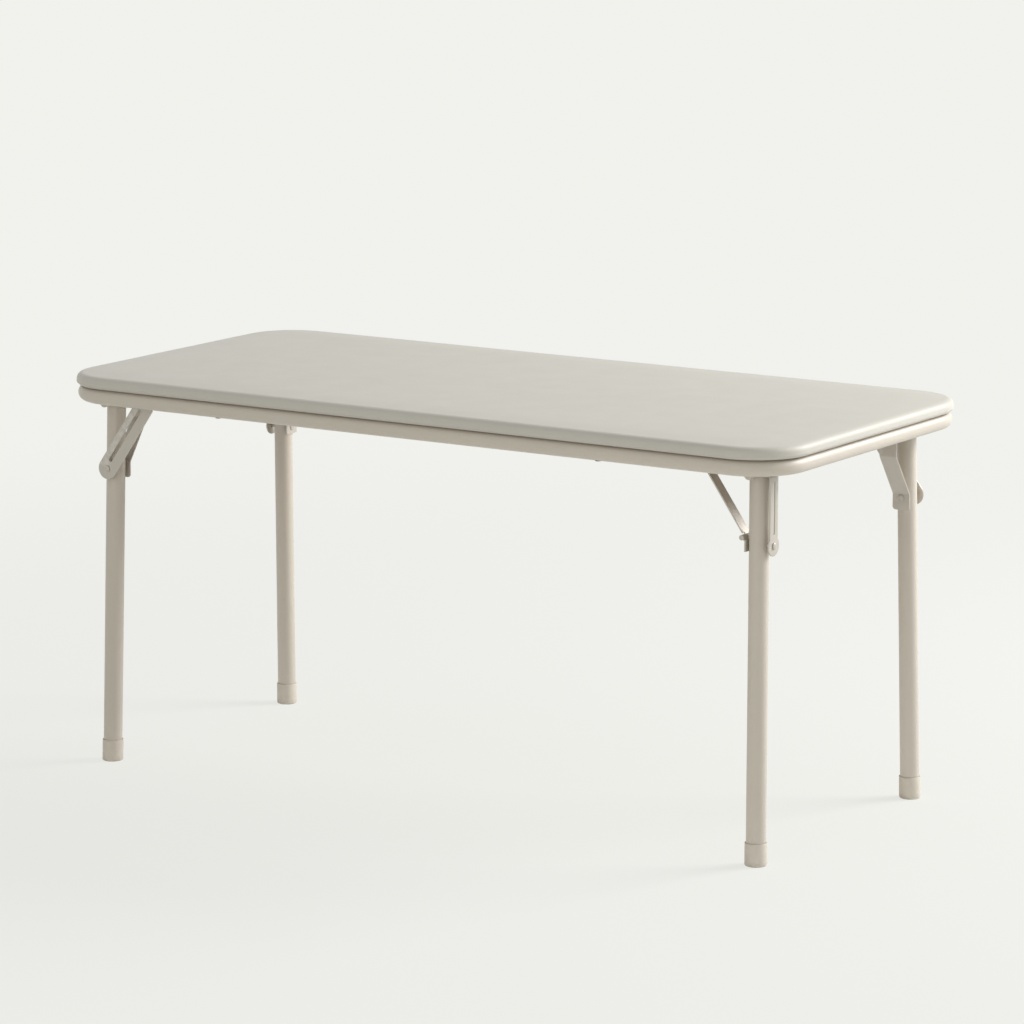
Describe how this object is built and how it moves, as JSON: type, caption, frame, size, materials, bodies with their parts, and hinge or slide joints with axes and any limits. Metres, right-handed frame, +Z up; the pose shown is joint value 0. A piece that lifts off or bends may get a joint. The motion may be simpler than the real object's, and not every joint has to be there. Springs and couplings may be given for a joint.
{
  "type": "folding activity table",
  "caption": "Folding activity table: a padded top with round corners on a bent tube rail, and tube legs with sliding braces that fold flat under it.",
  "frame": {"origin": "on the floor, under the middle of the top", "axes": "+X along the table's length, +Y across it, away from the picture's front side, +Z up"},
  "size_m": [1.14, 0.526, 0.55],
  "materials": {
    "vinyl_cover": "smooth satin vinyl, beige",
    "foam": "open foam",
    "board": "raw board",
    "painted_steel": "satin beige powder coat",
    "brace_steel": "glossier beige coat on sheet steel",
    "foot_plastic": "matt beige plastic",
    "fastener_steel": "zinc plated"
  },
  "bodies": {
    "table_top": {"top_cover": "vinyl_cover", "foam_pad": "foam", "top_board": "board", "frame_rail": "painted_steel", "mounting_bracket_front_left": "painted_steel", "mounting_bracket_front_right": "painted_steel", "mounting_bracket_rear_left": "painted_steel", "mounting_bracket_rear_right": "painted_steel", "bracket_screw_front_left_1": "fastener_steel", "bracket_screw_front_left_2": "fastener_steel", "bracket_screw_front_left_3": "fastener_steel", "rail_screw_front_left": "painted_steel", "bracket_screw_front_right_1": "fastener_steel", "bracket_screw_front_right_2": "fastener_steel", "bracket_screw_front_right_3": "fastener_steel", "rail_screw_front_right": "painted_steel", "bracket_screw_rear_left_1": "fastener_steel", "bracket_screw_rear_left_2": "fastener_steel", "bracket_screw_rear_left_3": "fastener_steel", "rail_screw_rear_left": "painted_steel", "bracket_screw_rear_right_1": "fastener_steel", "bracket_screw_rear_right_2": "fastener_steel", "bracket_screw_rear_right_3": "fastener_steel", "rail_screw_rear_right": "painted_steel"},
    "leg_front_left": {"leg_tube_front_left": "painted_steel", "foot_cap_front_left": "foot_plastic", "pivot_rod_front_left": "painted_steel", "leg_rivet_front_left": "brace_steel", "leg_stay_front_left": "brace_steel"},
    "brace_front_left": {"folding_brace_front_left": "brace_steel", "slide_pin_front_left": "brace_steel"},
    "leg_front_right": {"leg_tube_front_right": "painted_steel", "foot_cap_front_right": "foot_plastic", "pivot_rod_front_right": "painted_steel", "leg_rivet_front_right": "brace_steel", "brace_clip_front_right": "brace_steel", "brace_hinge_pin_front_right": "brace_steel", "leg_stiffener_front_right": "brace_steel"},
    "brace_front_right": {"folding_brace_front_right": "brace_steel", "slide_pin_front_right": "brace_steel"},
    "leg_rear_left": {"leg_tube_rear_left": "painted_steel", "foot_cap_rear_left": "foot_plastic", "pivot_rod_rear_left": "painted_steel", "leg_rivet_rear_left": "brace_steel", "brace_clip_rear_left": "brace_steel", "brace_hinge_pin_rear_left": "brace_steel", "leg_stiffener_rear_left": "brace_steel"},
    "brace_rear_left": {"folding_brace_rear_left": "brace_steel", "slide_pin_rear_left": "brace_steel"},
    "leg_rear_right": {"leg_tube_rear_right": "painted_steel", "foot_cap_rear_right": "foot_plastic", "pivot_rod_rear_right": "painted_steel", "leg_rivet_rear_right": "brace_steel", "leg_stay_rear_right": "brace_steel"},
    "brace_rear_right": {"folding_brace_rear_right": "brace_steel", "slide_pin_rear_right": "brace_steel"}
  },
  "joints": [
    {"name": "fold_leg_front_left", "type": "hinge", "parent": "table_top", "child": "leg_front_left", "pos_m": [-0.5145, -0.195, 0.5075], "axis": [0, -1, 0], "range_deg": [0, 90]},
    {"name": "fold_brace_front_left", "type": "hinge", "parent": "leg_front_left", "child": "brace_front_left", "pos_m": [-0.5145, -0.195, 0.4145], "axis": [0, 1, 0], "range_deg": [0, 141.7]},
    {"name": "fold_leg_front_right", "type": "hinge", "parent": "table_top", "child": "leg_front_right", "pos_m": [0.5055, -0.195, 0.5075], "axis": [0, 1, 0], "range_deg": [0, 90]},
    {"name": "fold_brace_front_right", "type": "hinge", "parent": "leg_front_right", "child": "brace_front_right", "pos_m": [0.4881, -0.195, 0.423], "axis": [0, -1, 0], "range_deg": [0, 145.2]},
    {"name": "fold_leg_rear_left", "type": "hinge", "parent": "table_top", "child": "leg_rear_left", "pos_m": [-0.5145, 0.195, 0.5075], "axis": [0, -1, 0], "range_deg": [0, 90]},
    {"name": "fold_brace_rear_left", "type": "hinge", "parent": "leg_rear_left", "child": "brace_rear_left", "pos_m": [-0.4971, 0.195, 0.423], "axis": [0, 1, 0], "range_deg": [0, 145.2]},
    {"name": "fold_leg_rear_right", "type": "hinge", "parent": "table_top", "child": "leg_rear_right", "pos_m": [0.5055, 0.195, 0.5075], "axis": [0, 1, 0], "range_deg": [0, 90]},
    {"name": "fold_brace_rear_right", "type": "hinge", "parent": "leg_rear_right", "child": "brace_rear_right", "pos_m": [0.5055, 0.195, 0.4145], "axis": [0, -1, 0], "range_deg": [0, 141.7]}
  ],
  "couplings": [
    {"joint": "fold_brace_front_left", "follows": "fold_leg_front_left", "ratio": 1.5744},
    {"joint": "fold_brace_front_right", "follows": "fold_leg_front_right", "ratio": 1.6133},
    {"joint": "fold_brace_rear_left", "follows": "fold_leg_rear_left", "ratio": 1.6133},
    {"joint": "fold_brace_rear_right", "follows": "fold_leg_rear_right", "ratio": 1.5744}
  ]
}
